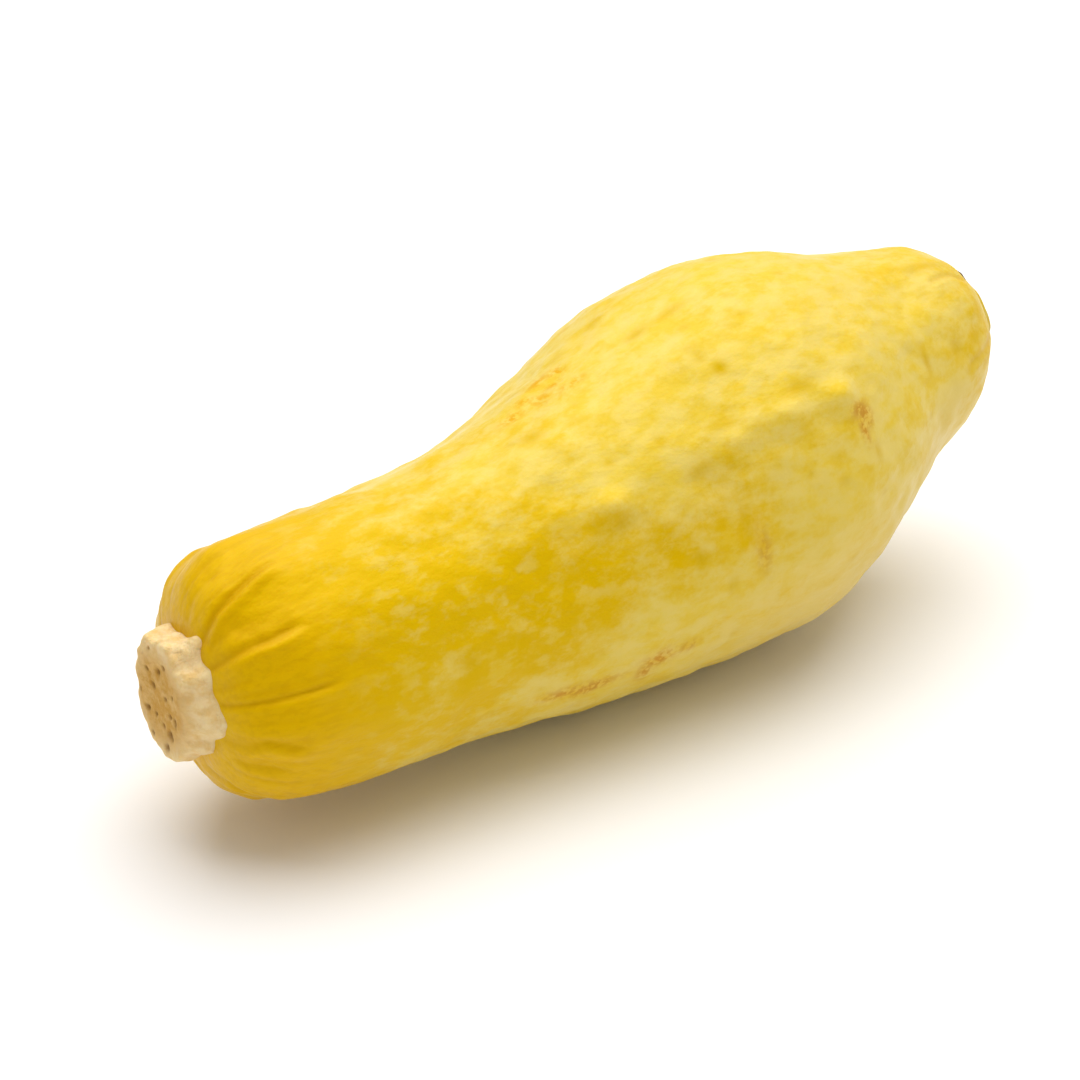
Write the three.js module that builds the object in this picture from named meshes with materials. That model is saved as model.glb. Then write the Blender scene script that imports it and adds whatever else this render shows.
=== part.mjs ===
// Yellow summer squash of the straight-neck kind, whole, lying on its belly.
//
// Three separate pieces: the fruit, the cut stump of its stem, and the dried scar that the blossom left.
// Millimetres, +Z up. +X runs along the fruit from the stem end to the blossom end, and -Y is its near
// side. The origin is on the ground, under the middle of the whole squash.

import * as THREE from 'three';

// ---------------------------------------------------------------------------------------------------
// Driving dimensions
// ---------------------------------------------------------------------------------------------------

// The fruit's outline: [station along the fruit, radius there]. It is an even curve through these points.
const OUTLINE = [
  [0, 9.8],       // stem seat
  [1, 14.6],      // shoulder round the stem
  [4.5, 19.7],
  [13, 23.4],
  [30, 24.8],     // neck
  [50, 25.8],
  [75, 30.2],     // neck swells into the belly
  [98, 34],
  [118, 36.7],    // belly
  [132, 35.7],
  [147, 30.8],    // belly draws in to the blossom knob
  [160, 25],
  [171, 20.8],
  [180, 17.2],    // blossom knob
  [185.2, 13],
  [187.8, 9],     // blossom seat
];

const BOW_RADIUS = 460;        // the centre line is bowed, so both ends lift off the ground
const BOW_LOW_STATION = 44;    // station where the centre line is lowest
// Each end also leans aside: [length of fruit that leans, how far towards +Y, how far up].
const STEM_LEAN = [60, 5, -2.5];
const BLOSSOM_LEAN = [45, -4, -1.4];
const GROUND_FLAT_DEPTH = 0.7; // how much of the belly the ground flattens

const RIB_COUNT = 10;          // soft lengthwise ribs all round
const RIB_HEIGHT = 0.25;       // on the belly
const PLEAT_HEIGHT = 0.5;      // the same ribs, deeper at the shoulder round the stem
const PLEAT_STATION = 6;       // where they are deepest
const PLEAT_SPREAD = 13;       // how far along the neck they fade
const RIB_PHASE = 20;          // degrees, turns the ribs so that one crest runs along the near side

// Warts and swellings: [station, angle, height, half length, half width]. Angles are in degrees from
// the top, towards the near side; the rest is in millimetres.
const BUMPS = [
  [88, 180, 1.2, 24, 16],    // underside, where it rests
  [72, -40, -2.1, 18, 20],   // hollow at the back of the neck
  [112, -40, 1.6, 16, 18],   // swellings along the back of the belly
  [140, -28, 1.4, 14, 16],
  [163, 122, 0.9, 16, 14],   // fullness under the blossom knob
  [75, 48, 1.7, 4.2, 3.4],   // warts on the near side
  [76.5, 55, -0.5, 2.6, 2.2],
  [117, 50, 1.2, 5, 3.6],
  [130, 53, 1.5, 4.6, 3.6],
  [109, 46, 0.5, 4, 3],
  [95, 55, -0.5, 6, 3],
  [100, 47, 0.6, 9, 5],
  [88, 39, 0.5, 6, 5],
  [60, 47, 0.5, 7, 5],
  [95, 80, 0.5, 7, 6],
  [79, 95, 0.5, 8, 6],
  [120, 88, 0.6, 7, 6],
  [108, 16, 0.5, 8, 6],
  [128, 8, 0.6, 7, 6],
  [72, 20, 0.5, 8, 6],
  [118, -75, 0.9, 6, 5],     // warts on the far side
  [134, -45, 0.8, 6, 6],
  [70, -95, 0.7, 7, 6],
  [106, -110, 0.8, 6, 6],
  [146, -90, 0.8, 6, 5],
  [60, 110, 0.5, 8, 7],
];

const JOINT_GAP = 0.3;         // clear gap between neighbouring pieces

const STUMP_RADIUS = 11.8;
const STUMP_HEIGHT = 5.2;
const STUMP_FACE_OVAL = 0.2;   // the cut face is this share taller, and as much narrower, than round
const STUMP_LOBES = 7;
const STUMP_LOBE_DEPTH = 0.6;
const STUMP_FACE_TILT = 0.07;  // the knife cut slopes across the stump

const SCAR_RADIUS = 8.6;
const SCAR_HEIGHT = 1.2;
const SCAR_LOBES = 5;
const SCAR_LOBE_DEPTH = 0.45;

const FRUIT_RINGS = 46;        // rings along the fruit
const FRUIT_SIDES = 72;        // points round each ring
const SMALL_SIDES = 40;        // points round each ring of the stump and the scar

// ---------------------------------------------------------------------------------------------------
// The centre line
// ---------------------------------------------------------------------------------------------------

const outline = new THREE.SplineCurve(OUTLINE.map(([station, radius]) => new THREE.Vector2(station, radius)));
const fruitLength = OUTLINE.at(-1)[0];

// How far an end's lean moves the centre line at a distance from that end: all the way at the end
// itself, and not at all past the lean's length.
function lean([length, aside, up], distance) {
  const share = Math.max(0, 1 - distance / length) ** 2;
  return new THREE.Vector3(0, aside * share, up * share);
}

function centreLine(station) {
  const bow = (station - BOW_LOW_STATION) ** 2 / (2 * BOW_RADIUS);
  const point = new THREE.Vector3(station, 0, bow);
  point.add(lean(STEM_LEAN, station));
  point.add(lean(BLOSSOM_LEAN, fruitLength - station));
  return point;
}

// The centre line's direction and two directions across it: up, and towards the near side.
function crossFrame(station) {
  const step = 0.01;
  const along = centreLine(station + step).sub(centreLine(station - step)).normalize();
  const up = new THREE.Vector3(0, 0, 1).addScaledVector(along, -along.z).normalize();
  const near = new THREE.Vector3().crossVectors(along, up);
  return { along, up, near };
}

// ---------------------------------------------------------------------------------------------------
// Closed solids from rings
// ---------------------------------------------------------------------------------------------------

// Joins a stack of rings into one closed surface. Each ring runs from up towards near, the rings follow
// +X, and each end is a fan of triangles round its own middle point.
function solidFromRings(rings, startMiddle, endMiddle) {
  const sides = rings[0].length;
  const points = [...rings.flat(), startMiddle, endMiddle];
  const start = points.length - 2;
  const end = points.length - 1;
  const lastRing = (rings.length - 1) * sides;
  const triangles = [];
  for (let side = 0; side < sides; side += 1) {
    const next = (side + 1) % sides;
    triangles.push(start, next, side);
    triangles.push(end, lastRing + side, lastRing + next);
    for (let ring = 0; ring < rings.length - 1; ring += 1) {
      const a = ring * sides + side;
      const b = ring * sides + next;
      triangles.push(a, b, b + sides);
      triangles.push(a, b + sides, a + sides);
    }
  }
  const geometry = new THREE.BufferGeometry();
  geometry.setFromPoints(points);
  geometry.setIndex(triangles);
  geometry.computeVertexNormals();
  return geometry;
}

// One ring across the centre line's frame at a middle point, with its radius given for each angle.
function ringAcross(middle, { along, up, near }, sides, radiusAt, alongAt = () => 0) {
  const ring = [];
  for (let side = 0; side < sides; side += 1) {
    const angle = (2 * Math.PI * side) / sides;
    const radius = radiusAt(angle);
    const point = middle.clone();
    point.addScaledVector(up, radius * Math.cos(angle));
    point.addScaledVector(near, radius * Math.sin(angle));
    point.addScaledVector(along, alongAt(angle, radius));
    ring.push(point);
  }
  return ring;
}

// ---------------------------------------------------------------------------------------------------
// The fruit
// ---------------------------------------------------------------------------------------------------

// Lengthwise ribs. They are unevenly spaced, as grown ribs are, and deepest at the shoulder.
function ribRelief(station, angle) {
  const uneven = 0.8 * Math.sin(angle + 1) + 0.5 * Math.sin(2 * angle);
  const wave = Math.cos(RIB_COUNT * (angle - THREE.MathUtils.degToRad(RIB_PHASE)) + uneven);
  const pleat = Math.exp(-(((station - PLEAT_STATION) / PLEAT_SPREAD) ** 2));
  const atSeat = Math.min(1, station / PLEAT_STATION);
  return wave * atSeat * (RIB_HEIGHT + (PLEAT_HEIGHT - RIB_HEIGHT) * pleat);
}

// Swellings, each a smooth round hill on the skin.
function bumpRelief(station, angle, radius) {
  let relief = 0;
  for (const [place, degrees, height, halfLength, halfWidth] of BUMPS) {
    const turn = angle - THREE.MathUtils.degToRad(degrees);
    const around = radius * Math.atan2(Math.sin(turn), Math.cos(turn));
    relief += height * Math.exp(-(((station - place) / halfLength) ** 2) - (around / halfWidth) ** 2);
  }
  return relief;
}

function fruitRings() {
  const rings = [];
  for (let ring = 0; ring < FRUIT_RINGS; ring += 1) {
    const { x: station, y: radius } = outline.getPoint(ring / (FRUIT_RINGS - 1));
    const atEnds = ring === 0 || ring === FRUIT_RINGS - 1;
    const radiusAt = (angle) => {
      const relief = atEnds ? 0 : ribRelief(station, angle) + bumpRelief(station, angle, radius);
      return radius + relief;
    };
    rings.push(ringAcross(centreLine(station), crossFrame(station), FRUIT_SIDES, radiusAt));
  }
  return rings;
}

// ---------------------------------------------------------------------------------------------------
// The stem stump and the blossom scar
// ---------------------------------------------------------------------------------------------------

// A low lumpy disc that stands on one end of the fruit. Its layers are given from the fruit outwards as
// [height, radius], and outwards is -1 at the stem end and +1 at the blossom end. Its lobes, its oval
// and its tilt all grow from nothing at its foot to their full size at its face.
function endDisc(station, outwards, layers, { lobes, lobeDepth, faceOval, faceTilt }) {
  const frame = crossFrame(station);
  const middleAt = (height) => centreLine(station).addScaledVector(frame.along, outwards * height);
  const topHeight = layers.at(-1)[0];
  const rings = layers.map(([height, radius]) => {
    const share = (height - JOINT_GAP) / (topHeight - JOINT_GAP);
    const radiusAt = (angle) => {
      const lobe = Math.sin(lobes * angle + 0.7) + 0.5 * Math.sin((2 * lobes - 3) * angle + 2);
      const oval = 1 + share * faceOval * Math.cos(2 * angle);
      return radius * oval + lobeDepth * share * lobe * Math.min(1, radius / lobes);
    };
    const tiltAt = (angle, reach) => outwards * share * faceTilt * reach * Math.cos(angle);
    return ringAcross(middleAt(height), frame, SMALL_SIDES, radiusAt, tiltAt);
  });
  const base = middleAt(layers[0][0]);
  const face = middleAt(topHeight);
  if (outwards < 0) {
    return solidFromRings(rings.reverse(), face, base);
  }
  return solidFromRings(rings, base, face);
}

// The stump flares where it grips the fruit and has a blunt, slightly hollow cut face.
function stemStump() {
  const layers = [
    [JOINT_GAP, STUMP_RADIUS],
    [0.3 * STUMP_HEIGHT, STUMP_RADIUS],
    [0.65 * STUMP_HEIGHT, 0.93 * STUMP_RADIUS],
    [0.9 * STUMP_HEIGHT, 0.86 * STUMP_RADIUS],
    [STUMP_HEIGHT, 0.74 * STUMP_RADIUS],
    [0.94 * STUMP_HEIGHT, 0.4 * STUMP_RADIUS],
  ];
  const shape = {
    lobes: STUMP_LOBES,
    lobeDepth: STUMP_LOBE_DEPTH,
    faceOval: STUMP_FACE_OVAL,
    faceTilt: STUMP_FACE_TILT,
  };
  return endDisc(0, -1, layers, shape);
}

// The scar is a dry button with a raised rim round a sunken middle.
function blossomScar() {
  const layers = [
    [JOINT_GAP, SCAR_RADIUS],
    [0.55 * SCAR_HEIGHT, SCAR_RADIUS],
    [SCAR_HEIGHT, 0.82 * SCAR_RADIUS],
    [0.8 * SCAR_HEIGHT, 0.55 * SCAR_RADIUS],
    [0.6 * SCAR_HEIGHT, 0.25 * SCAR_RADIUS],
  ];
  const shape = { lobes: SCAR_LOBES, lobeDepth: SCAR_LOBE_DEPTH, faceOval: 0, faceTilt: 0 };
  return endDisc(fruitLength, 1, layers, shape);
}

// ---------------------------------------------------------------------------------------------------
// Putting the squash together
// ---------------------------------------------------------------------------------------------------

// Lifts the fruit until the ground would cut GROUND_FLAT_DEPTH off the belly, then presses what is
// below the ground up onto it. That leaves the small flat spot that the squash rests on.
function restOnGround(fruit) {
  fruit.computeBoundingBox();
  const lift = -fruit.boundingBox.min.z - GROUND_FLAT_DEPTH;
  fruit.translate(0, 0, lift);
  const position = fruit.getAttribute('position');
  for (let index = 0; index < position.count; index += 1) {
    position.setZ(index, Math.max(0, position.getZ(index)));
  }
  fruit.computeBoundingBox();
  fruit.computeVertexNormals();
  return lift;
}

function namedMesh(name, geometry, colour, roughness) {
  const material = new THREE.MeshStandardMaterial({ color: colour, roughness, metalness: 0 });
  const mesh = new THREE.Mesh(geometry, material);
  mesh.name = name;
  return mesh;
}

const fruitEnds = [centreLine(0), centreLine(fruitLength)];
const fruitGeometry = solidFromRings(fruitRings(), ...fruitEnds);
const lift = restOnGround(fruitGeometry);

const fruit = namedMesh('fruit', fruitGeometry, 0xe6c02a, 0.45);
const stump = namedMesh('stem_stump', stemStump(), 0xe3cb98, 0.9);
const scar = namedMesh('blossom_scar', blossomScar(), 0x6b4a2b, 0.9);
stump.position.z = lift;
scar.position.z = lift;

const squash = new THREE.Group();
squash.add(fruit, stump, scar);

// The origin goes under the middle of the whole squash's box.
const box = new THREE.Box3().setFromObject(squash);
const middle = box.getCenter(new THREE.Vector3());
squash.position.set(-middle.x, -middle.y, 0);

export default squash;
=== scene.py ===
# %% [markdown]
# # A yellow summer squash
#
# This lesson makes one whole squash: the fruit, the corky stump where its stem was cut, and the dry
# scar where its blossom fell off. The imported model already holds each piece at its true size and
# place, as a plain solid. Each cell here makes one surface or one finish, finer than that solid but in
# the same place. The squash is worked out in millimetres until a mesh is made of it, and everything
# else is in metres.

import bpy
import numpy as np
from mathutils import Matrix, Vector


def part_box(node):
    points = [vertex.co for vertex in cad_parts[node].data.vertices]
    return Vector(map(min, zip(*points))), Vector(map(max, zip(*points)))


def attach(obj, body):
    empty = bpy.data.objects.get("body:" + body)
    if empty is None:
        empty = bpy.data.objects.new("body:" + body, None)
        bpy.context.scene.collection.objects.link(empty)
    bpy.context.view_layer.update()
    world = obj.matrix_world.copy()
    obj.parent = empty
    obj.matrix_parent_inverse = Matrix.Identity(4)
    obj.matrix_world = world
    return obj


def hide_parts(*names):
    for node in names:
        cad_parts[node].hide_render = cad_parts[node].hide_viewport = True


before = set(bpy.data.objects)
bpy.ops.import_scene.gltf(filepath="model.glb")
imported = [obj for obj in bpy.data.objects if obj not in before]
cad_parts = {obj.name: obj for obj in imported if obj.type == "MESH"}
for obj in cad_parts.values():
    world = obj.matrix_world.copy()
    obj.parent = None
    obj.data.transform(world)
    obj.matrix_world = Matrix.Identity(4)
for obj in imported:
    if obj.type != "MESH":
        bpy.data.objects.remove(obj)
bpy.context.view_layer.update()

MM = 0.001

# %% [markdown]
# ## Camera, floor and light
#
# The squash lies on a white sheet in soft daylight. One large lamp, high over it and a little to the
# back, makes the top glow and leaves the near side in gentle shade. A bright world fills the rest, so
# shadows stay soft. A small bright lamp would do too, but then the waxy skin would show hard spots.

# %% A helper that points a camera or a lamp
def aim(thing, place, target):
    """Put a thing at a place, with its own -Z axis along the line to the target."""
    thing.location = place
    thing.rotation_euler = (Vector(target) - Vector(place)).to_track_quat("-Z", "Y").to_euler()


# %% The camera
AZIMUTH = np.radians(-40.8)
ELEVATION = np.radians(28.75)
DISTANCE = 0.517
LENS = 90.0                 # the lens and its sensor are in millimetres
SENSOR_WIDTH = 36.0
NEAREST_SEEN = 0.01
TARGET = Vector((-0.0094, 0.0074, 0.030))

back = Vector((
    np.sin(AZIMUTH) * np.cos(ELEVATION),
    -np.cos(AZIMUTH) * np.cos(ELEVATION),
    np.sin(ELEVATION),
))
camera = bpy.data.objects.new("camera", bpy.data.cameras.new("camera"))
camera.data.lens = LENS
camera.data.sensor_width = SENSOR_WIDTH
camera.data.clip_start = NEAREST_SEEN
bpy.context.collection.objects.link(camera)
aim(camera, TARGET + back * DISTANCE, TARGET)
bpy.context.scene.camera = camera
print("camera at", [round(v, 3) for v in camera.location])

# %% The lamp
LAMP_PLACE = (0.18, 0.15, 1.05)
LAMP_AIM = (0.0, 0.0, 0.03)
LAMP_SIZE = 1.3
LAMP_WATTS = 15.6
LAMP_COLOUR = (1.0, 0.985, 0.985)

light = bpy.data.lights.new("key_overhead", "AREA")
light.size = LAMP_SIZE
light.energy = LAMP_WATTS
light.color = LAMP_COLOUR
lamp = bpy.data.objects.new("key_overhead", light)
bpy.context.collection.objects.link(lamp)
aim(lamp, LAMP_PLACE, LAMP_AIM)
print("lamp", LAMP_SIZE, "m wide at", LAMP_PLACE)

# %% The bright room
ROOM_COLOUR = (1.0, 0.975, 0.93, 1.0)
ROOM_STRENGTH = 0.46

world = bpy.data.worlds.new("white_room")
world.use_nodes = True
background = world.node_tree.nodes["Background"]
background.inputs["Color"].default_value = ROOM_COLOUR
background.inputs["Strength"].default_value = ROOM_STRENGTH
bpy.context.scene.world = world
bpy.context.scene.view_settings.view_transform = "Standard"
print("room strength", ROOM_STRENGTH)

# %% The floor
FLOOR_HALF = 3.0
FLOOR_WHITE = (0.93, 0.93, 0.93, 1.0)
FLOOR_ROUGHNESS = 0.9

floor_corners = [(FLOOR_HALF * x, FLOOR_HALF * y, 0.0) for x, y in ((-1, -1), (1, -1), (1, 1), (-1, 1))]
floor_mesh = bpy.data.meshes.new("floor")
floor_mesh.from_pydata(floor_corners, [], [(0, 1, 2, 3)])
floor = bpy.data.objects.new("floor", floor_mesh)
bpy.context.collection.objects.link(floor)
paper = bpy.data.materials.new("white_paper")
paper.use_nodes = True
paper_shader = paper.node_tree.nodes["Principled BSDF"]
paper_shader.inputs["Base Color"].default_value = FLOOR_WHITE
paper_shader.inputs["Roughness"].default_value = FLOOR_ROUGHNESS
floor_mesh.materials.append(paper)
print("floor", 2 * FLOOR_HALF, "m across")

# %% [markdown]
# ## The shape of the fruit
#
# A squash is almost a turned shape, so it could be made with a Spin or a Screw modifier. But a real
# one is bowed, ribbed and lumpy. So it is worked out here as a surface of two parameters, the station
# along the fruit and the angle round it: a radius from an even curve, plus reliefs added to it, set
# round a bent centre line. Whole arrays are computed at once, which takes a fraction of a second.

# %% The outline and the bent centre line
OUTLINE = np.array([
    (0, 9.8), (1, 14.6), (4.5, 19.7), (13, 23.4),        # shoulder round the stem
    (30, 24.8), (50, 25.8),                              # neck
    (75, 30.2), (98, 34), (118, 36.7), (132, 35.7),      # belly
    (147, 30.8), (160, 25), (171, 20.8), (180, 17.2),    # drawing in
    (185.2, 13), (187.8, 9),                             # blossom end
])
LENGTH = OUTLINE[-1, 0]
BOW_RADIUS = 460.0
BOW_LOW_STATION = 44.0
STEM_LEAN = (60.0, 5.0, -2.5)                            # length that leans, how far to +Y, how far up
BLOSSOM_LEAN = (45.0, -4.0, -1.4)


def even_curve(points, count):
    """Catmull-Rom curve: through every point, each slope is half the step between its neighbours."""
    last = len(points) - 1
    along = np.linspace(0, last, count)
    index = np.minimum(along.astype(int), last - 1)
    share = (along - index)[:, None]
    before, start, end, after = (points[np.clip(index + k, 0, last)] for k in (-1, 0, 1, 2))
    leave = (end - before) / 2
    arrive = (after - start) / 2
    cubic = 2 * start - 2 * end + leave + arrive
    square = 3 * end - 3 * start - 2 * leave - arrive
    return ((cubic * share + square) * share + leave) * share + start


def centre_line(station):
    """Middle of the fruit at a station: a shallow parabola, plus a squared lean near each end."""
    stem = np.clip(1 - station / STEM_LEAN[0], 0, 1) ** 2
    blossom = np.clip(1 - (LENGTH - station) / BLOSSOM_LEAN[0], 0, 1) ** 2
    aside = STEM_LEAN[1] * stem + BLOSSOM_LEAN[1] * blossom
    bow = (station - BOW_LOW_STATION) ** 2 / (2 * BOW_RADIUS)
    lift = bow + STEM_LEAN[2] * stem + BLOSSOM_LEAN[2] * blossom
    return np.stack([station, aside, lift], axis=-1)


def cross_frame(station):
    """Unit directions at a station: along the centre line, up across it, and near (-Y) across it."""
    step = 0.01
    along = centre_line(station + step) - centre_line(station - step)
    along /= np.linalg.norm(along, axis=-1, keepdims=True)
    up = np.array([0.0, 0.0, 1.0]) - along * along[..., 2:]
    up /= np.linalg.norm(up, axis=-1, keepdims=True)
    return along, up, np.cross(along, up)


print("length", LENGTH, "widest", even_curve(OUTLINE, 500)[:, 1].max().round(1))

# %% The grid of stations and angles
RINGS = 300
SIDES = 328
outline = even_curve(OUTLINE, RINGS)
station = np.repeat(outline[:, :1], SIDES, axis=1)
radius = np.repeat(outline[:, 1:], SIDES, axis=1)
angle = np.tile(np.linspace(0, 2 * np.pi, SIDES, endpoint=False), (RINGS, 1))
print("grid", station.shape, "triangles", 2 * RINGS * SIDES)

# %% [markdown]
# ## Ribs, pleats and warts
#
# Ten soft ribs run the whole length. Round the stem they pinch into pleats. Warts and hollows are
# smooth hills and dips at listed places. Sculpting would do it too, but a list of hills is easy
# to read and to move.


# %% Ribs and pleats
RIBS = 10
FIRST_RIB = 20.0            # degrees from the top
RIB_HEIGHT = 0.15
PLEAT_HEIGHT = 0.5          # of a rib where it is pinched most
PLEAT_STATION = 6.0
PLEAT_SPREAD = 13.0


def ribs():
    """Cosine of ten times the angle, unevenly spaced, higher near the stem by a Gaussian share."""
    uneven = 0.8 * np.sin(angle + 1) + 0.5 * np.sin(2 * angle)
    wave = np.cos(RIBS * (angle - np.radians(FIRST_RIB)) + uneven)
    pleat = np.exp(-((station - PLEAT_STATION) / PLEAT_SPREAD) ** 2)
    at_seat = np.minimum(1, station / PLEAT_STATION)
    return wave * at_seat * (RIB_HEIGHT + (PLEAT_HEIGHT - RIB_HEIGHT) * pleat)


relief = ribs()
print("ribs from", relief.min().round(2), "to", relief.max().round(2), "mm")


# %% A hill on the skin
def turn_from(around, degrees):
    """How far each angle is from a middle one, in radians, at most half a turn either way."""
    turn = around - np.radians(degrees)
    return np.arctan2(np.sin(turn), np.cos(turn))


def hill(place, degrees, half_length, half_width):
    """Gaussian hill of height 1 at a station and an angle, measured in millimetres on the skin."""
    across = radius * turn_from(angle, degrees)
    return np.exp(-((station - place) / half_length) ** 2 - (across / half_width) ** 2)


# %% Swellings and warts
SWELLINGS = [
    # station, angle, height, half length, half width
    (88, 180, 1.2, 24, 16),                                                       # underside
    (72, -40, -2.1, 18, 20), (112, -40, 1.6, 16, 18), (140, -28, 1.4, 14, 16),    # along the back
    (163, 122, 0.9, 16, 14), (175, 104, 1.1, 9, 14), (150, -8, 0.9, 16, 14),      # round the knob
    (8, -22, 1.0, 9, 12),                                                         # shoulder
]
WARTS = [
    # station, angle, height, half length, half width
    (75, 48, 2.1, 3.6, 3.0), (76.5, 55, -0.5, 2.6, 2.2), (117, 50, 1.7, 4.4, 3.0),    # near side
    (130, 53, 1.8, 4.2, 3.2), (109, 46, 0.8, 4, 3), (95, 55, -0.6, 6, 3), (123, 56, -0.5, 3, 3),
    (103, 50, 0.8, 3, 2.6), (66, 44, 0.4, 3.5, 3), (84, 62, 0.5, 3, 3), (112, 60, 0.4, 3, 3),
    (100, 47, 0.6, 9, 5), (88, 39, 0.5, 6, 5), (63, 30, 0.5, 12, 8),
    (95, 80, 0.5, 7, 6), (79, 95, 0.5, 8, 6), (120, 88, 0.6, 7, 6),
    (108, 16, 0.5, 8, 6), (128, 8, 0.6, 7, 6), (72, 20, 0.5, 8, 6),
    (118, -75, 0.9, 6, 5), (134, -45, 0.8, 6, 6), (70, -95, 0.7, 7, 6),               # far side
    (106, -110, 0.8, 6, 6), (146, -90, 0.8, 6, 5), (60, 110, 0.5, 8, 7),
]
for place, degrees, height, half_length, half_width in SWELLINGS + WARTS:
    relief += height * hill(place, degrees, half_length, half_width)
print("relief from", relief.min().round(2), "to", relief.max().round(2), "mm")

# %% Pimples
PIMPLES = 64
FIRST_PIMPLE = 34.0
PIMPLE_STEP = 2.15
GOLDEN_TURN = 137.508       # degrees from one to the next, so that no two line up

draw = np.random.default_rng(5)
for count in range(PIMPLES):
    place = FIRST_PIMPLE + PIMPLE_STEP * count + draw.uniform(-2, 2)
    degrees = GOLDEN_TURN * count + draw.uniform(-12, 12)
    height = draw.uniform(-0.2, 0.45)
    relief += height * hill(place, degrees, draw.uniform(2, 4.5), draw.uniform(1.8, 3.2))
print("pimples and dimples", PIMPLES)

# %% [markdown]
# ## Creases at the shoulder
#
# The skin is drawn in to the stem in creases, each with a plump fold beside it. A crease keeps to an
# angle that drifts as it runs along the fruit, so it is a line of few points, and the distance to it
# across the skin shapes both the groove and its fold. Each groove is darkened with painted shade too.


# %% One crease
def smooth_step(low, high, value):
    """0 below low, 1 above high, and an S curve between."""
    share = np.clip((value - low) / (high - low), 0, 1)
    return share * share * (3 - 2 * share)


CREASE_WIDTH = 0.82         # shares of the widths and depths in the list
CREASE_DEPTH = 0.85
CREASE_SHADE = 1.1
CREASE_RISE = (-0.6, 0.4)   # from its first station
CREASE_FADE = 2.5
FOLD_ASIDE = 1.9            # in half widths of the groove
FOLD_WIDTH = 1.3


def crease(stations, degrees, half_width):
    """A Gaussian groove along a drifting angle, and the fold beside it, both fading at each end."""
    across = radius * turn_from(angle, np.interp(station, stations, degrees))
    start = smooth_step(stations[0] + CREASE_RISE[0], stations[0] + CREASE_RISE[1], station)
    stop = 1 - smooth_step(stations[-1] - CREASE_FADE, stations[-1] + CREASE_FADE, station)
    groove = np.exp(-(across / half_width) ** 2)
    fold = np.exp(-((across - FOLD_ASIDE * half_width) / (FOLD_WIDTH * half_width)) ** 2)
    return start * stop * groove, start * stop * fold


# %% All the creases
CREASES = [
    # stations, angles, half width, depth, height of the fold
    ((0.5, 3.4, 6.3, 9.2, 14.5), (26, 19.5, 17.5, 15.5, 12), 1.1, 1.0, 0.7),       # near side
    ((0.5, 4.5, 9.2, 13.5), (46, 45, 45, 43.5), 1.0, 0.9, 0.7),
    ((1.0, 4.5, 7, 12), (30, 31.5, 38, 38.5), 2.6, 0.45, 0.0),
    ((0.6, 6.5, 17), (72.5, 72, 71), 0.75, 0.65, 0.25),
    ((0.8, 4), (61.5, 59.5), 0.9, 0.45, 0.25),
    ((0.8, 5.6, 11), (99.5, 92.5, 96.5), 1.3, 0.45, 0.35),
    ((1.8, 8), (110, 110.5), 1.2, 0.4, 0.3),
    ((0.5, 2.3, 6), (154.5, 141.5, 143), 1.2, 0.6, 0.5),
    ((0.2, 2.5), (3, -1), 1.1, 0.35, 0.25),
    ((0.3, 3.0), (-29, -31), 1.1, 0.35, 0.25),
    ((0.4, 5, 12), (-52, -49, -47), 1.1, 0.9, 0.6),                                # far side
    ((0.5, 6, 15), (-78, -76, -77), 1.0, 0.8, 0.5),
    ((0.5, 4, 9), (-103, -106, -104), 1.2, 0.6, 0.5),
    ((0.6, 5, 13), (-131, -128, -129), 1.0, 0.8, 0.5),
    ((0.5, 4, 10), (-158, -156, -158), 1.1, 0.7, 0.5),
    ((0.5, 5, 11), (178, 175, 176), 1.1, 0.6, 0.5),
    ((175, 181, 186.5), (30, 28, 34), 1.0, 0.35, 0.2),                             # blossom end
    ((174, 182, 187), (84, 86, 88), 1.0, 0.35, 0.2),
    ((180, 187), (140, 138), 1.0, 0.4, 0.2),
    ((172, 181, 187), (-60, -57, -55), 1.0, 0.4, 0.2),
    ((180, 187), (-140, -138), 1.0, 0.4, 0.2),
]
# Painted shade: the deeper a groove, the darker its colour is painted, kept as a mask
painted_crease_shade = np.zeros_like(station)
for stations, degrees, half_width, depth, fold_height in CREASES:
    groove, fold = crease(stations, degrees, CREASE_WIDTH * half_width)
    relief += CREASE_DEPTH * (fold_height * fold - depth * groove)
    painted_crease_shade = np.maximum(painted_crease_shade, min(1.0, CREASE_SHADE * depth) * groove)
print("creases", len(CREASES))

# %% Fine pleats between them
FINE_PLEAT_DEPTH = 0.10
FINE_PLEAT_SHADE = 0.26

# Two rows of folds, 31 and 47 of them round the fruit, unevenly spaced, where both rise together
wide_row = np.cos(31 * angle + 2 * np.sin(2 * angle))
narrow_row = np.cos(47 * angle + 1.5 * np.sin(3 * angle) + 2)
by_the_stem = np.exp(-((station - 5.5) / 8) ** 2) * smooth_step(0, 2, station)
fine_pleats = np.clip(wide_row + 0.7 * narrow_row, 0, None) * by_the_stem
relief -= FINE_PLEAT_DEPTH * fine_pleats
# Painted shade in the fine pleats as well
painted_crease_shade = np.maximum(painted_crease_shade, FINE_PLEAT_SHADE * fine_pleats)
print("relief from", relief.min().round(2), "to", relief.max().round(2), "mm")

# %% [markdown]
# ## Small unevenness
#
# No part of a grown skin is smooth. A sum of plane waves with random directions gives even, seamless
# lumps everywhere, with no poles or seams, because it depends only on the place in space.


# %% A seamless field of lumps
def lumps(points, wavelength, seed, count=28):
    """Sum of plane cosine waves of one wavelength, random in direction and phase, mostly in -2..2."""
    chance = np.random.default_rng(seed)
    directions = chance.normal(size=(count, 3))
    directions /= np.linalg.norm(directions, axis=1, keepdims=True)
    phases = chance.uniform(0, 2 * np.pi, count)
    turns = points @ directions.T * (2 * np.pi / wavelength) + phases
    return np.cos(turns).sum(axis=-1) * np.sqrt(2 / count)


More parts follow.
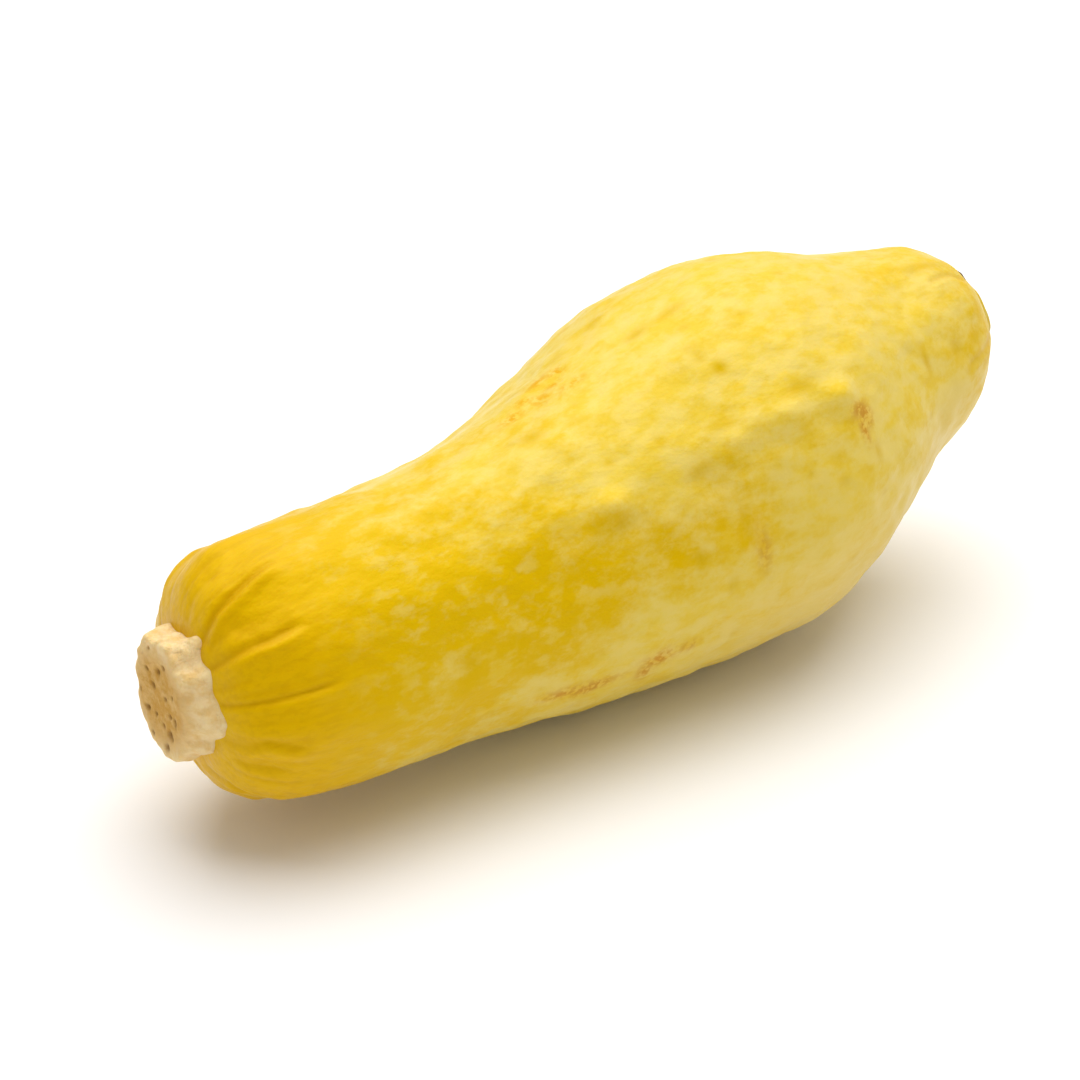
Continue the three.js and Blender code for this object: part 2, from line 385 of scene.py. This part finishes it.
def on_surface(extra):
    """Points of the fruit: the centre line, plus radius and relief along up and near."""
    along, up, near = cross_frame(station)
    reach = (radius + extra)[..., None]
    return centre_line(station) + reach * (np.cos(angle)[..., None] * up + np.sin(angle)[..., None] * near)


# %% Lumps of three sizes
LUMPS = [(0.12, 17, 1), (0.09, 7, 2), (0.03, 3.6, 4)]        # height, wavelength, seed
END_LENGTH = 8.0            # over which small relief fades out at both ends

plain_points = on_surface(relief)
off_ends = np.clip(np.minimum(station, LENGTH - station) / END_LENGTH, 0, 1)
for height, wavelength, seed in LUMPS:
    relief += off_ends * height * lumps(plain_points, wavelength, seed)
print("lumps", LUMPS)

# %% [markdown]
# ## Marks on the skin
#
# Each mark is kept as a mask on the mesh: gold where the skin is ripest, spots where it is dimpled and
# darker, scab where it was scratched and healed brown. The masks are made with the same hills, and the
# material turns them into colour. Painting them by hand would need an image.

# %% Gold on the neck and at the blossom end
GOLD_START = 6.0            # station that the full gold reaches all round
GOLD_TONGUES = [(71, 33, 44), (-110, 50, 22)]                # angle, half width in degrees, how much farther
GOLD_FADE = 66.0
NECK_GOLD = 0.92
SEAT_GOLD = 0.25
SEAT_FADE = (10, 30)        # stations where it starts and stops
BLOSSOM_GOLD = 0.36
BLOSSOM_RISE = (156, 182)
BELLY_GOLD = 0.01
GOLD_HILLS = [
    # station, angle, half length, half width, how much more gold
    (58, 104, 20, 9, -0.22),                                 # pale underside of the neck
    (100, 66, 22, 10, 0.32), (80, -4, 12, 9, 0.2),           # ridge and back
]


def bulge(around, degrees, half_width):
    """A Gaussian of the angle, 1 at its middle, with its half width in degrees."""
    return np.exp(-(np.degrees(turn_from(around, degrees)) / half_width) ** 2)


gold_until = GOLD_START + sum(farther * bulge(angle, *tongue) for *tongue, farther in GOLD_TONGUES)
gold = BELLY_GOLD + NECK_GOLD * (1 - smooth_step(gold_until, gold_until + GOLD_FADE, station))
gold += SEAT_GOLD * (1 - smooth_step(*SEAT_FADE, station))
gold += BLOSSOM_GOLD * smooth_step(*BLOSSOM_RISE, station)
for *where, more in GOLD_HILLS:
    gold += more * hill(*where)
print("gold from", gold.min().round(2), "to", gold.max().round(2))

# %% Gold in clouds
CLOUDS = (0.05, 24, 3)      # height, wavelength, seed
NECK_CLOUDS = (0.12, 13, 6)
NECK_RISE = (14, 30)
NECK_FADE = (80, 110)
MOST_GOLD = 1.1

on_neck = smooth_step(*NECK_RISE, station) * (1 - smooth_step(*NECK_FADE, station))
gold += CLOUDS[0] * lumps(plain_points, *CLOUDS[1:])
gold += NECK_CLOUDS[0] * on_neck * lumps(plain_points, *NECK_CLOUDS[1:])
gold = np.clip(gold, 0, MOST_GOLD)
print("mean gold", gold.mean().round(2))

# %% The shoulder, where the skin is deepest in colour
SHOULDER_FADE = (10, 34)

shoulder = 1 - smooth_step(*SHOULDER_FADE, station)
print("shoulder share", shoulder.mean().round(2))

# %% Cream on the underside and towards the blossom
LOW_SIDE = (70, 125)        # degrees from the top
BELLY_RISE = (78, 124)
END_FADE = (165, 182)

low_side = smooth_step(*LOW_SIDE, np.degrees(np.abs(turn_from(angle, 0))))
past_neck = smooth_step(*BELLY_RISE, station)
short_of_end = 1 - 0.6 * smooth_step(*END_FADE, station)
under_knob = 0.8 * hill(163, 104, 9, 7)
cream = np.clip(low_side * past_neck * short_of_end + under_knob, 0, 1)
print("mean cream", cream.mean().round(2))

# %% Spots
SPOTS = [
    # station, angle, half length, half width, strength
    (75.5, 54, 1.9, 1.4, 0.75), (111, 27, 1.6, 1.6, 1.0), (109, 21, 1.3, 1.0, 0.6),
    (91, 37, 1.5, 1.2, 0.8), (80, 34.5, 1.2, 1.0, 0.6), (94.6, 51, 2.8, 1.3, 0.6),
    (104, 42, 3.0, 1.5, 0.6), (120.5, 44.5, 4.0, 1.4, 0.8), (88.6, 76.5, 1.3, 1.8, 0.9),
    (99.5, 71.5, 1.0, 2.2, 0.6), (94.6, 90.5, 1.0, 2.0, 0.6), (122.7, 75.5, 1.2, 1.0, 0.4),
    (133.4, 74.5, 1.0, 2.2, 0.7), (112.7, 8.5, 1.2, 1.0, 0.6), (114.8, -1, 4.5, 1.2, 0.7),
    (105.8, -1.5, 3.0, 1.2, 0.8), (104.3, -20.5, 3.2, 1.2, 0.5), (125.3, 7.5, 1.2, 1.0, 0.5),
    (142, 5, 1.2, 1.0, 0.4), (160.6, 64.5, 1.0, 3.0, 0.8), (171.3, 70.5, 2.0, 2.4, 0.7),
    (176.4, 17.5, 5.0, 1.2, 0.8), (178.6, 74, 2.0, 1.6, 0.6), (71.7, 10.5, 2.6, 2.0, 0.9),
    (41.2, 81.5, 1.6, 2.0, 0.5),
]
spots = np.zeros_like(station)
for *where, strength in SPOTS:
    spots = np.maximum(spots, strength * hill(*where))
print("spots", len(SPOTS))

# %% Specks
SPECKS = 70
FIRST_SPECK = (40, 100)     # station, angle
SPECK_STEP = 1.95

for count in range(SPECKS):
    place = FIRST_SPECK[0] + SPECK_STEP * count + draw.uniform(-2, 2)
    degrees = FIRST_SPECK[1] + GOLDEN_TURN * count + draw.uniform(-15, 15)
    size = draw.uniform(0.5, 1.2)
    strength = draw.uniform(0.25, 0.6)
    spots = np.maximum(spots, strength * hill(place, degrees, size * draw.uniform(1, 2.5), size))
print("specks", SPECKS)

# %% Orange dashes where the back was rubbed
DASHES = [
    # station, angle
    (89.5, -11.5), (85.2, -14), (87.8, -1), (81.6, -4.5), (74.5, -6), (86, -7), (79, -9),    # back
    (52, -128), (56, -121), (61, -132), (118, -152), (124, -146), (150, 168),                # far side
]
dashes = np.zeros_like(station)
for place, degrees in DASHES:
    dashes = np.maximum(dashes, hill(place, degrees, draw.uniform(1.6, 3.4), draw.uniform(0.9, 1.8)))
print("dashes", len(DASHES))

# %% Scabs
SCABS = [
    # station, angle, half length, half width, strength
    (132.2, 59.5, 2.6, 1.5, 0.8), (133.5, 62.5, 1.8, 2.2, 1.0), (131.6, 66, 0.9, 2.4, 1.0),
    (101.9, 83.5, 1.5, 4.5, 0.55), (60, 113, 4.5, 1.4, 0.75), (66, 115, 5.5, 1.5, 0.85),
    (79.8, 111.5, 3.0, 2.4, 0.95), (77.5, 117, 1.6, 2.6, 0.8), (86, 110.5, 2.0, 1.4, 0.7),
    (96, -118, 4.0, 1.2, 0.7), (127, -98, 1.4, 2.8, 0.8), (43, -146, 3.2, 1.0, 0.6),
]
scab = np.zeros_like(station)
for *where, strength in SCABS:
    scab = np.maximum(scab, strength * hill(*where))
print("scabs", len(SCABS))

# %% Marks as relief
SPOT_DEPTH = 0.14
DASH_DEPTH = 0.12
SCAB_HEIGHT = 0.20

relief += off_ends * (SCAB_HEIGHT * scab - SPOT_DEPTH * spots - DASH_DEPTH * dashes)
print("relief from", relief.min().round(2), "to", relief.max().round(2), "mm")

# %% [markdown]
# ## From grid to mesh
#
# One function serves every piece: it takes rings of points, joins neighbours with four-sided faces,
# closes each end with a fan to a middle point, and stores the masks on the points.

# %% A closed mesh from rings
def closed_mesh(name, rings, ends, masks):
    """Quads between neighbours of a (rings, sides, 3) grid in metres, and a fan to each end's middle.

    A mask is a name with its values on the grid and at the two middles.
    """
    count, sides, _ = rings.shape
    points = np.concatenate([rings.reshape(-1, 3), np.array(ends)])
    index = np.arange(count * sides).reshape(count, sides)
    turned = np.roll(index, -1, axis=1)
    quads = np.stack([index[:-1], turned[:-1], turned[1:], index[1:]], axis=-1).reshape(-1, 4)
    first = np.stack([np.full(sides, count * sides), turned[0], index[0]], axis=-1)
    last = np.stack([np.full(sides, count * sides + 1), index[-1], turned[-1]], axis=-1)
    fans = np.concatenate([first, last])
    mesh = bpy.data.meshes.new(name)
    mesh.vertices.add(len(points))
    mesh.vertices.foreach_set("co", points.ravel())
    corners = np.concatenate([quads.ravel(), fans.ravel()])
    mesh.loops.add(len(corners))
    mesh.loops.foreach_set("vertex_index", corners)
    starts = np.concatenate([np.arange(len(quads)) * 4, len(quads) * 4 + np.arange(len(fans)) * 3])
    mesh.polygons.add(len(starts))
    mesh.polygons.foreach_set("loop_start", starts)
    mesh.update(calc_edges=True)
    mesh.validate()
    mesh.polygons.foreach_set("use_smooth", np.ones(len(starts), dtype=bool))
    for mask_name, (grid, at_ends) in masks.items():
        layer = mesh.attributes.new(mask_name, "FLOAT", "POINT")
        layer.data.foreach_set("value", np.concatenate([grid.ravel(), at_ends]).astype(np.float32))
    piece = bpy.data.objects.new(name, mesh)
    bpy.context.collection.objects.link(piece)
    print(name, len(points), "points", 2 * len(quads) + len(fans), "triangles")
    return piece


# %% Rest the fruit on the ground
GROUND_FLAT_DEPTH = 0.7     # how much of the belly is pressed flat
END_DIMPLE = 1.2            # how far the middle of each end is sunk, under the stump and the scar

fruit_points = on_surface(relief)
fruit_ends = centre_line(np.array([END_DIMPLE, LENGTH - END_DIMPLE]))
fruit_low, fruit_high = np.array(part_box("fruit")) / MM
own_middle = (fruit_points.min((0, 1)) + fruit_points.max((0, 1))) / 2
shift = (fruit_low + fruit_high) / 2 - own_middle
shift[2] = -fruit_points[..., 2].min() - GROUND_FLAT_DEPTH
fruit_points += shift
fruit_ends += shift
fruit_points[..., 2] = np.maximum(fruit_points[..., 2], 0)
print("shift", shift.round(2))

# %% The fruit
NO_MARKS = np.zeros(2)
fruit_masks = {
    "gold": (gold, np.array([1.0, 0.6])),                    # on the grid, and at the two end middles
    "shoulder": (shoulder, np.array([1.0, 0.0])),
    "spots": (spots, NO_MARKS),
    "scab": (scab, NO_MARKS),
    "cream": (cream, NO_MARKS),
    # painted shade in the creases and pleats
    "crease": (painted_crease_shade, NO_MARKS),
    "dashes": (dashes, NO_MARKS),
}
fruit = closed_mesh("squash_fruit", fruit_points * MM, fruit_ends * MM, fruit_masks)
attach(fruit, "root")
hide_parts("fruit")

# %% [markdown]
# ## The cut stem
#
# The stump is dry cork. Its side is lumpy and pale, its rim ragged, and its cut face tan with brown
# pits where the sap tubes dried out. It is a surface of angle and of the path from its foot, over the
# rim, to the middle of the face.


# %% The path over an end piece
LUMP_LENGTH = 4.6           # wavelength of the lumps on a stump or a scar
LUMP_FADE = 4.0             # radius inside which they die away, towards the middle of the face


def end_piece(at_station, outwards, path, widen, tilt, lumpy, seed, sides, count):
    """Grid on an end of the fruit: a path of (height, radius), widened by angle and rise, then made lumpy.

    Gives the points, and the radius, angle and height of each.
    """
    curve = even_curve(np.array(path, dtype=float), count)
    height = np.repeat(curve[:, :1], sides, axis=1)
    around = np.tile(np.linspace(0, 2 * np.pi, sides, endpoint=False), (count, 1))
    rise = np.clip(height / curve[:, 0].max(), 0, 1)
    reach = curve[:, 1:] * widen(around, rise)
    along, up, near = cross_frame(np.array(float(at_station)))
    outward = np.cos(around)[..., None] * up + np.sin(around)[..., None] * near
    lift = height + tilt * rise * reach * np.cos(around)
    middle = centre_line(np.array(float(at_station))) + shift
    points = middle + reach[..., None] * outward + outwards * lift[..., None] * along
    # Lumps of two sizes, which push out sideways a little more than endways
    bubbles = lumps(points, LUMP_LENGTH, seed) + 0.6 * lumps(points, LUMP_LENGTH / 2, seed + 1)
    grown = (lumpy * np.clip(reach / LUMP_FADE, 0, 1) * bubbles)[..., None]
    return points + grown * (0.7 * outward + 0.5 * outwards * along), reach, around, height


# %% The stump's outline at each height
FOOT_LOBES = [
    # angle, half width in degrees, how much wider as a share of the radius
    (21, 9, 0.21), (52, 12, 0.06), (86, 16, 0.12), (-2, 12, -0.05),
    (134, 24, -0.09), (-60, 14, 0.05), (-128, 14, 0.04),
]


def stump_widen(around, rise):
    """Lobes at the foot, fading upwards; scallops all the way; taller than wide at the cut face."""
    foot = sum(wider * bulge(around, *lobe) for *lobe, wider in FOOT_LOBES) - 0.05 * np.cos(2 * around)
    scallops = 0.022 * np.sin(9 * around + 0.4) + 0.018 * np.sin(14 * around + 2)
    face_oval = 0.14 * np.cos(2 * around) + 0.04 * bulge(around, -25, 16)
    return 1 + (1 - rise) * foot + scallops + rise * face_oval


# %% The stump's surface
STUMP_PATH = [
    # height, radius
    (-2.4, 11.6), (-0.9, 12.1), (0.3, 12.3), (1.5, 11.9), (2.9, 11.1), (4.2, 10.5), (4.9, 9.8),
    (5.1, 8.8), (5.1, 7.4), (4.9, 5.4), (4.8, 3.2), (4.85, 1.6), (4.9, 0.3),
]
FACE_HEIGHT = 4.6
FACE_EDGE = 1.6             # height over which the side turns into the face
TAN_UNTIL = 5.5             # radius at which the face starts to grow pale
PALE_FROM = 11.5

stump_points, stump_reach, stump_around, stump_height = end_piece(
    0, -1, STUMP_PATH, stump_widen, tilt=0.05, lumpy=0.15, seed=11, sides=220, count=120)
on_face = smooth_step(FACE_HEIGHT - FACE_EDGE, FACE_HEIGHT, stump_height)
cut_face = (1 - smooth_step(TAN_UNTIL, PALE_FROM, stump_reach)) * on_face
print("stump reaches", stump_reach.max().round(1), "mm")

# %% Pits in its face
PITS = [
    # distance from the middle, angle, size
    (7.4, -100, 0.5), (6.6, -128, 0.6), (4.6, -150, 0.4), (5.2, 178, 0.5), (6.6, 160, 0.8),
    (7.2, 154, 0.5), (3.4, 128, 0.5), (5.0, 118, 0.6), (5.5, 124, 0.4), (9.2, 172, 0.7),
    (8.6, -158, 0.5), (3.2, -60, 0.6), (6.4, -48, 0.4), (7.4, 12, 0.5), (1.6, 60, 0.4),
    (4.6, 60, 0.4), (9.4, -18, 0.4), (5.4, -8, 0.6),
]
PIT_DEPTH = 0.55

pits = np.zeros_like(stump_reach)
for out, degrees, size in PITS:
    across_up = stump_reach * np.cos(stump_around) - out * np.cos(np.radians(degrees))
    across_near = stump_reach * np.sin(stump_around) - out * np.sin(np.radians(degrees))
    pits = np.maximum(pits, np.exp(-(across_up ** 2 + across_near ** 2) / size ** 2))
pits *= on_face
inwards = cross_frame(np.array(0.0))[0]
stump_points = stump_points + (PIT_DEPTH * pits)[..., None] * inwards
print("pits", len(PITS))

# %% The stump, with its rings turned round so that its faces point outwards
stump_ends = [stump_points[-1].mean(axis=0) * MM, stump_points[0].mean(axis=0) * MM]
stump = closed_mesh("stem_stump_cork", stump_points[::-1] * MM, stump_ends, {
    "face": (cut_face[::-1], np.array([1.0, 0.0])),
    "pits": (pits[::-1], NO_MARKS),
})
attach(stump, "root")
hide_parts("stem_stump")

# %% [markdown]
# ## The blossom scar
#
# Where the flower dropped off, a dry brown button is left: a crusty rim round a sunken middle.


# %% The scar
SCAR_PATH = [
    # height, radius
    (-1.8, 8.2), (-0.6, 8.5), (0.0, 8.6), (0.35, 8.3), (0.55, 7.6), (0.5, 6.7), (0.35, 5.6), (0.3, 3.8),
    (0.35, 2.0), (0.5, 0.9), (0.6, 0.25),
]
RIM_RADIUS = 8.0
RIM_WIDTH = 0.9


def scar_widen(around, rise):
    """Five weak lobes for the five petals, a ragged rim, one side grown wider and one drawn in."""
    lobes = 0.03 * np.cos(5 * around + 0.6) + 0.04 * rise * np.sin(13 * around + 1)
    return 1 + lobes + 0.15 * bulge(around, 4, 26) - 0.09 * bulge(around, 75, 32)


scar_points, scar_reach, *_ = end_piece(
    LENGTH, 1, SCAR_PATH, scar_widen, tilt=-0.03, lumpy=0.14, seed=21, sides=180, count=90)
rim = np.exp(-((scar_reach - RIM_RADIUS) / RIM_WIDTH) ** 2)
scar_ends = [scar_points[0].mean(axis=0) * MM, scar_points[-1].mean(axis=0) * MM]
scar = closed_mesh("blossom_button", scar_points * MM, scar_ends, {"rim": (rim, NO_MARKS)})
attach(scar, "root")
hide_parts("blossom_scar")

# %% [markdown]
# ## Node groups
#
# Two effects serve all three finishes, so each is a node group with named inputs. Patches turns noise
# into a mask with a soft edge. Grain is fine unevenness for a Bump node. Both read Object coordinates,
# so the pattern stays on the squash wherever it is seen from.


# %% Helpers for node trees
def feed(tree, socket, value):
    """Link another node's output to an input, or set the input to a plain value."""
    if isinstance(value, bpy.types.NodeSocket):
        tree.links.new(value, socket)
    else:
        socket.default_value = value


def add_node(tree, kind, settings=None, **values):
    """Add a node, set its properties, and feed its inputs by name, with _ for a space."""
    node = tree.nodes.new(kind)
    for key, value in (settings or {}).items():
        setattr(node, key, value)
    for key, value in values.items():
        feed(tree, node.inputs[key.replace("_", " ")], value)
    return node


def maths(tree, operation, first, second, clamp=False):
    """One Math node."""
    node = add_node(tree, "ShaderNodeMath", {"operation": operation, "use_clamp": clamp})
    feed(tree, node.inputs[0], first)
    feed(tree, node.inputs[1], second)
    return node.outputs["Value"]


def times(tree, first, second, clamp=False):
    """The product of two values, held to 0..1 if clamped."""
    return maths(tree, "MULTIPLY", first, second, clamp)


def smooth_range(tree, value, low, high):
    """0 below low, 1 above high, and an S curve between."""
    return add_node(tree, "ShaderNodeMapRange", {"interpolation_type": "SMOOTHSTEP"},
                    Value=value, From_Min=low, From_Max=high).outputs["Result"]


def new_group(name, inputs, outputs):
    """A shader node group with float or vector sockets, and its two end nodes."""
    tree = bpy.data.node_groups.new(name, "ShaderNodeTree")
    for label, kind, value in inputs:
        socket = tree.interface.new_socket(label, in_out="INPUT", socket_type=kind)
        if value is not None:
            socket.default_value = value
    for label, kind in outputs:
        tree.interface.new_socket(label, in_out="OUTPUT", socket_type=kind)
    return tree, tree.nodes.new("NodeGroupInput").outputs, tree.nodes.new("NodeGroupOutput").inputs


# %% The patches group
FLOAT = "NodeSocketFloat"
VECTOR = "NodeSocketVector"

patches, given, result = new_group(
    "patches",
    [("Vector", VECTOR, None), ("Scale", FLOAT, 100.0), ("Detail", FLOAT, 3.0),
     ("Low", FLOAT, 0.45), ("High", FLOAT, 0.6)],
    [("Mask", FLOAT)])
noise = add_node(patches, "ShaderNodeTexNoise", Vector=given["Vector"], Scale=given["Scale"],
                 Detail=given["Detail"], Roughness=0.6)
patches.links.new(smooth_range(patches, noise.outputs["Fac"], given["Low"], given["High"]), result["Mask"])

# %% The grain group
grain, given, result = new_group(
    "grain",
    [("Vector", VECTOR, None), ("Scale", FLOAT, 600.0), ("Size", FLOAT, 1.0)],
    [("Height", FLOAT)])
noise = add_node(grain, "ShaderNodeTexNoise", Vector=given["Vector"], Scale=given["Scale"],
                 Detail=4.0, Roughness=0.55)
grain.links.new(times(grain, noise.outputs["Fac"], given["Size"]), result["Height"])
print("groups", [tree.name for tree in bpy.data.node_groups])


# %% A material with its usual nodes
def new_material(name):
    """A material with its tree, its Principled shader and an Object coordinate socket."""
    material = bpy.data.materials.new(name)
    material.use_nodes = True
    tree = material.node_tree
    coordinates = add_node(tree, "ShaderNodeTexCoord")
    return material, tree, tree.nodes["Principled BSDF"], coordinates.outputs["Object"]


def stretched(tree, place, lengthwise):
    """Object coordinates squeezed lengthwise, so that a pattern comes out long along the fruit."""
    return add_node(tree, "ShaderNodeMapping", Vector=place, Scale=(lengthwise, 1.0, 1.0)).outputs["Vector"]


def mask_of(tree, name):
    """The value of a mask that the mesh carries."""
    return add_node(tree, "ShaderNodeAttribute", {"attribute_name": name}).outputs["Fac"]


def patched(tree, place, scale, detail, low, high):
    """A mask of soft-edged patches, from the patches group."""
    return add_node(tree, "ShaderNodeGroup", {"node_tree": patches}, Vector=place, Scale=scale,
                    Detail=detail, Low=low, High=high).outputs["Mask"]


def roughen(tree, shader, place, scale, size):
    """Feed the grain group to a Bump node, and the bump to the shader."""
    height = add_node(tree, "ShaderNodeGroup", {"node_tree": grain}, Vector=place, Scale=scale, Size=size)
    bump = add_node(tree, "ShaderNodeBump", Strength=1.0, Distance=1.0, Height=height.outputs["Height"])
    tree.links.new(bump.outputs["Normal"], shader.inputs["Normal"])


def blend(tree, share, first, second):
    """Mix two colours by a share of the second."""
    node = add_node(tree, "ShaderNodeMix", {"data_type": "RGBA"})
    for socket, value in zip((node.inputs[0], node.inputs[6], node.inputs[7]), (share, first, second)):
        feed(tree, socket, value)
    return node.outputs[2]


# %% [markdown]
# ## The skin
#
# Ripe gold and pale lemon meet in mottled patches a few millimetres across, not in a smooth fade. So
# the gold mask doesn't set the colour itself: it moves the threshold of the patches. Spots, scabs and
# streaks are laid over that, and painted shade darkens the creases at the shoulder.

# %% The skin's colours
PALE = (0.775, 0.598, 0.138, 1.0)
LEMON = (0.765, 0.555, 0.052, 1.0)
CREAM = (0.755, 0.565, 0.15, 1.0)
GOLD = (0.725, 0.458, 0.0003, 1.0)
AMBER = (0.74, 0.445, 0.0003, 1.0)         # ripest, at the shoulder
SPOT = (0.66, 0.42, 0.001, 1.0)
# painted shade in the creases, and the colour of the real streaks at the shoulder
CREASE_SHADE_AND_STREAK = (0.58, 0.31, 0.001, 1.0)
ORANGE = (0.72, 0.37, 0.003, 1.0)
SCAB = (0.68, 0.36, 0.04, 1.0)
SCAB_DARK = (0.42, 0.17, 0.02, 1.0)

# %% Ripe patches on a pale skin
BROAD_SHARE = 0.24          # how far each size of patch pushes the gold
MOTTLE_SHARE = 0.40
DAPPLE_SHARE = 0.20
RIPE_FROM = 0.36
RIPE_TO = 1.24
FLECK_SHARE = 0.52

skin, tree, shader, place = new_material("squash_skin")
long_place = stretched(tree, place, lengthwise=0.6)
broad = patched(tree, long_place, scale=70.0, detail=3.0, low=0.30, high=0.70)
mottle = patched(tree, long_place, scale=260.0, detail=4.0, low=0.30, high=0.70)
dapple = patched(tree, place, scale=720.0, detail=2.0, low=0.30, high=0.70)
flecks = patched(tree, long_place, scale=340.0, detail=4.0, low=0.46, high=0.66)
cloudy = maths(tree, "ADD", times(tree, broad, BROAD_SHARE), times(tree, mottle, MOTTLE_SHARE))
cloudy = maths(tree, "ADD", cloudy, times(tree, dapple, DAPPLE_SHARE))
ripe = smooth_range(tree, maths(tree, "ADD", mask_of(tree, "gold"), cloudy), RIPE_FROM, RIPE_TO)
past_shoulder = maths(tree, "SUBTRACT", 1.0, mask_of(tree, "shoulder"))
flecked = times(tree, times(tree, flecks, past_shoulder), FLECK_SHARE)
ripe = times(tree, ripe, maths(tree, "SUBTRACT", 1.0, flecked))
pale = blend(tree, mask_of(tree, "cream"), blend(tree, mottle, PALE, LEMON), CREAM)
colour = blend(tree, ripe, pale, blend(tree, mask_of(tree, "shoulder"), GOLD, AMBER))

# %% Streaks, painted shade in the creases, and spots over the colour
STREAK_SHARE = 0.30
CREASE_SHADE_SHARE = 0.75
SPOT_SHARE = 1.1

streaky_place = stretched(tree, place, lengthwise=0.12)
streaks = patched(tree, streaky_place, scale=900.0, detail=2.0, low=0.42, high=0.66)
streaked = times(tree, times(tree, mask_of(tree, "shoulder"), streaks), STREAK_SHARE)
colour = blend(tree, streaked, colour, CREASE_SHADE_AND_STREAK)
# Painted shade: the creases darkened by their mask
colour = blend(tree, times(tree, mask_of(tree, "crease"), CREASE_SHADE_SHARE, clamp=True), colour, CREASE_SHADE_AND_STREAK)
colour = blend(tree, times(tree, mask_of(tree, "spots"), SPOT_SHARE, clamp=True), colour, SPOT)

# %% Dashes and scabs, broken up
WHOLE_DASH = 0.08           # what is left of a dash between its crumbs
WHOLE_SCAB = 0.5
SCAB_CRUMBS = 0.9
SCAB_DARK_SHARE = 0.38

crumbs = patched(tree, place, scale=700.0, detail=3.0, low=0.38, high=0.56)
dashed = times(tree, mask_of(tree, "dashes"), maths(tree, "ADD", crumbs, WHOLE_DASH), clamp=True)
colour = blend(tree, dashed, colour, ORANGE)
patchy = maths(tree, "ADD", times(tree, crumbs, SCAB_CRUMBS), WHOLE_SCAB)
scabbed = times(tree, mask_of(tree, "scab"), patchy, clamp=True)
scab_colour = blend(tree, times(tree, crumbs, SCAB_DARK_SHARE), SCAB, SCAB_DARK)
colour = blend(tree, scabbed, colour, scab_colour)
tree.links.new(colour, shader.inputs["Base Color"])

# %% Skin gloss and bump
SMOOTHEST = 0.36
ROUGHEST = 0.50
SCAB_ROUGHER = 0.35

rough = add_node(tree, "ShaderNodeMapRange", Value=mottle, To_Min=SMOOTHEST, To_Max=ROUGHEST)
rough = maths(tree, "ADD", rough.outputs["Result"], times(tree, scabbed, SCAB_ROUGHER), clamp=True)
tree.links.new(rough, shader.inputs["Roughness"])
shader.inputs["Specular IOR Level"].default_value = 0.3
shader.inputs["Specular Tint"].default_value = (1.0, 0.85, 0.05, 1.0)
shader.inputs["Subsurface Weight"].default_value = 0.1
shader.inputs["Subsurface Radius"].default_value = (0.004, 0.0022, 0.0006)
shader.inputs["Subsurface Scale"].default_value = 1.0
roughen(tree, shader, long_place, scale=420.0, size=0.0003)
fruit.data.materials.append(skin)
print("skin nodes", len(tree.nodes))

# %% [markdown]
# ## Cork
#
# The stump's side is pale cream and its cut face is tan. Pits are brown. Everything is matt.

# %% Cork colour, gloss and bump
CORK_PALE = (0.86, 0.66, 0.34, 1.0)
CORK_STRAW = (0.78, 0.53, 0.20, 1.0)
CORK_TAN = (0.60, 0.32, 0.045, 1.0)
CORK_BROWN = (0.26, 0.12, 0.015, 1.0)
CUT_STRAW_SHARE = 0.6

cork, tree, shader, place = new_material("stem_cork")
clouds = patched(tree, place, scale=420.0, detail=4.0, low=0.38, high=0.68)
side = blend(tree, clouds, CORK_PALE, CORK_STRAW)
cut = blend(tree, times(tree, clouds, CUT_STRAW_SHARE), CORK_TAN, CORK_STRAW)
colour = blend(tree, mask_of(tree, "face"), side, cut)
colour = blend(tree, mask_of(tree, "pits"), colour, CORK_BROWN)
tree.links.new(colour, shader.inputs["Base Color"])
shader.inputs["Roughness"].default_value = 0.85
shader.inputs["Subsurface Weight"].default_value = 0.2
shader.inputs["Subsurface Radius"].default_value = (0.004, 0.0025, 0.001)
shader.inputs["Subsurface Scale"].default_value = 1.0
roughen(tree, shader, place, scale=700.0, size=0.0008)
stump.data.materials.append(cork)
print("cork nodes", len(tree.nodes))

# %% [markdown]
# ## The dry scar's finish
#
# Dark brown, crusty and matt, a little paler along the worn rim.

# %% Scar colour, gloss and bump
SCAR_DARK = (0.06, 0.03, 0.012, 1.0)
SCAR_BROWN = (0.16, 0.08, 0.03, 1.0)
SCAR_WORN = (0.34, 0.19, 0.08, 1.0)

dry, tree, shader, place = new_material("dry_scar")
crust = patched(tree, place, scale=600.0, detail=4.0, low=0.35, high=0.65)
colour = blend(tree, crust, SCAR_DARK, SCAR_BROWN)
colour = blend(tree, times(tree, mask_of(tree, "rim"), crust), colour, SCAR_WORN)
tree.links.new(colour, shader.inputs["Base Color"])
shader.inputs["Roughness"].default_value = 0.9
roughen(tree, shader, place, scale=1100.0, size=0.0010)
scar.data.materials.append(dry)
print("scar nodes", len(tree.nodes))
